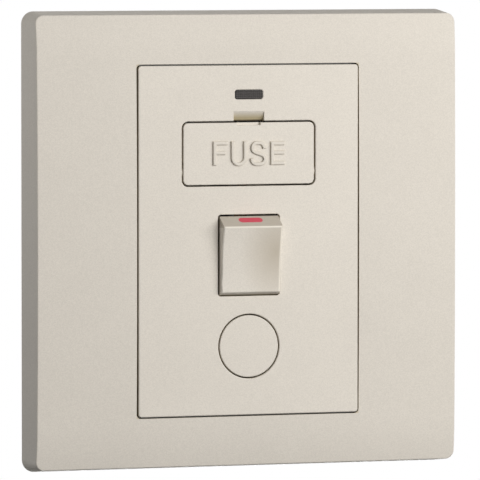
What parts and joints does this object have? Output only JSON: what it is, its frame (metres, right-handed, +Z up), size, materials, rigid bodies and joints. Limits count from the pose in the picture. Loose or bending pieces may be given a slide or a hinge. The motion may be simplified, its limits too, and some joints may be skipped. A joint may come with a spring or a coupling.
{
  "type": "fused spur unit",
  "caption": "Square champagne wall accessory: a rocker switch, a tilting fuse carrier, an indicator lens and a blanked flex outlet in a crowned clip-on frame.",
  "frame": {"origin": "in the wall plane, midway between the two fixing slots, behind the middle of the front plate", "axes": "+Y into the wall, so the front faces -Y; +Z up as mounted; +X to the right seen from the front"},
  "size_m": [0.0874, 0.0295, 0.0886],
  "materials": {
    "champagne_cover": "satin champagne metallic lacquer",
    "champagne_module": "satin champagne metallic lacquer",
    "grey_frame": "moulded satin",
    "red_mark": "filled mark",
    "smoked_lens": "smoked, fine prism pattern",
    "white_housing": "moulded satin",
    "natural_nylon": "smooth",
    "spring_steel": "drawn wire",
    "plated_screws": "zinc plated",
    "terminal_brass": "machined",
    "strip_copper": "pressed copper alloy strip",
    "fuse_ceramic": "unglazed",
    "nickel_caps": "nickel plated",
    "lamp_glass": "clear",
    "resistor_body": "lacquered"
  },
  "bodies": {
    "unit": {"cover_frame": "champagne_cover", "mounting_frame": "grey_frame", "front_plate": "champagne_module", "rear_housing": "white_housing", "housing_screws": "plated_screws", "terminal_screws": "plated_screws", "cord_grip_screws": "plated_screws", "cord_grip_bar": "white_housing", "live_feed_contact": "strip_copper", "neutral_feed_contact": "strip_copper", "neutral_load_contact": "strip_copper", "supply_fuse_clip": "strip_copper", "load_fuse_clip": "strip_copper", "indicator_lens": "smoked_lens", "indicator_lamp": "lamp_glass", "lamp_resistor": "resistor_body", "flex_outlet_plug": "champagne_module", "supply_live_terminal": "terminal_brass", "supply_neutral_terminal": "terminal_brass", "load_neutral_terminal": "terminal_brass", "load_live_terminal": "terminal_brass", "earth_terminal": "terminal_brass"},
    "rocker": {"rocker": "champagne_module", "on_marker": "red_mark", "contact_plungers": "natural_nylon", "plunger_springs": "spring_steel"},
    "live_bridge": {"live_contact_bridge": "strip_copper"},
    "neutral_bridge": {"neutral_contact_bridge": "strip_copper"},
    "fuse_carrier": {"fuse_carrier": "champagne_module", "fuse_tube": "fuse_ceramic", "fuse_caps": "nickel_caps"}
  },
  "joints": [
    {"name": "rocker_pivot", "type": "hinge", "parent": "unit", "child": "rocker", "pos_m": [0, -0.0035, -0.0029], "axis": [-1, 0, 0], "range_deg": [0, 14]},
    {"name": "live_bridge_pivot", "type": "hinge", "parent": "unit", "child": "live_bridge", "pos_m": [0.0032, 0.0067, -0.0029], "axis": [1, 0, 0], "range_deg": [0, 10]},
    {"name": "neutral_bridge_pivot", "type": "hinge", "parent": "unit", "child": "neutral_bridge", "pos_m": [-0.0032, 0.0067, -0.0029], "axis": [1, 0, 0], "range_deg": [0, 10]},
    {"name": "fuse_carrier_pivot", "type": "hinge", "parent": "unit", "child": "fuse_carrier", "pos_m": [0, -0.0063, 0.01325], "axis": [1, 0, 0], "range_deg": [0, 70]}
  ],
  "couplings": [
    {"joint": "live_bridge_pivot", "follows": "rocker_pivot", "ratio": 0.71429},
    {"joint": "neutral_bridge_pivot", "follows": "rocker_pivot", "ratio": 0.71429}
  ]
}
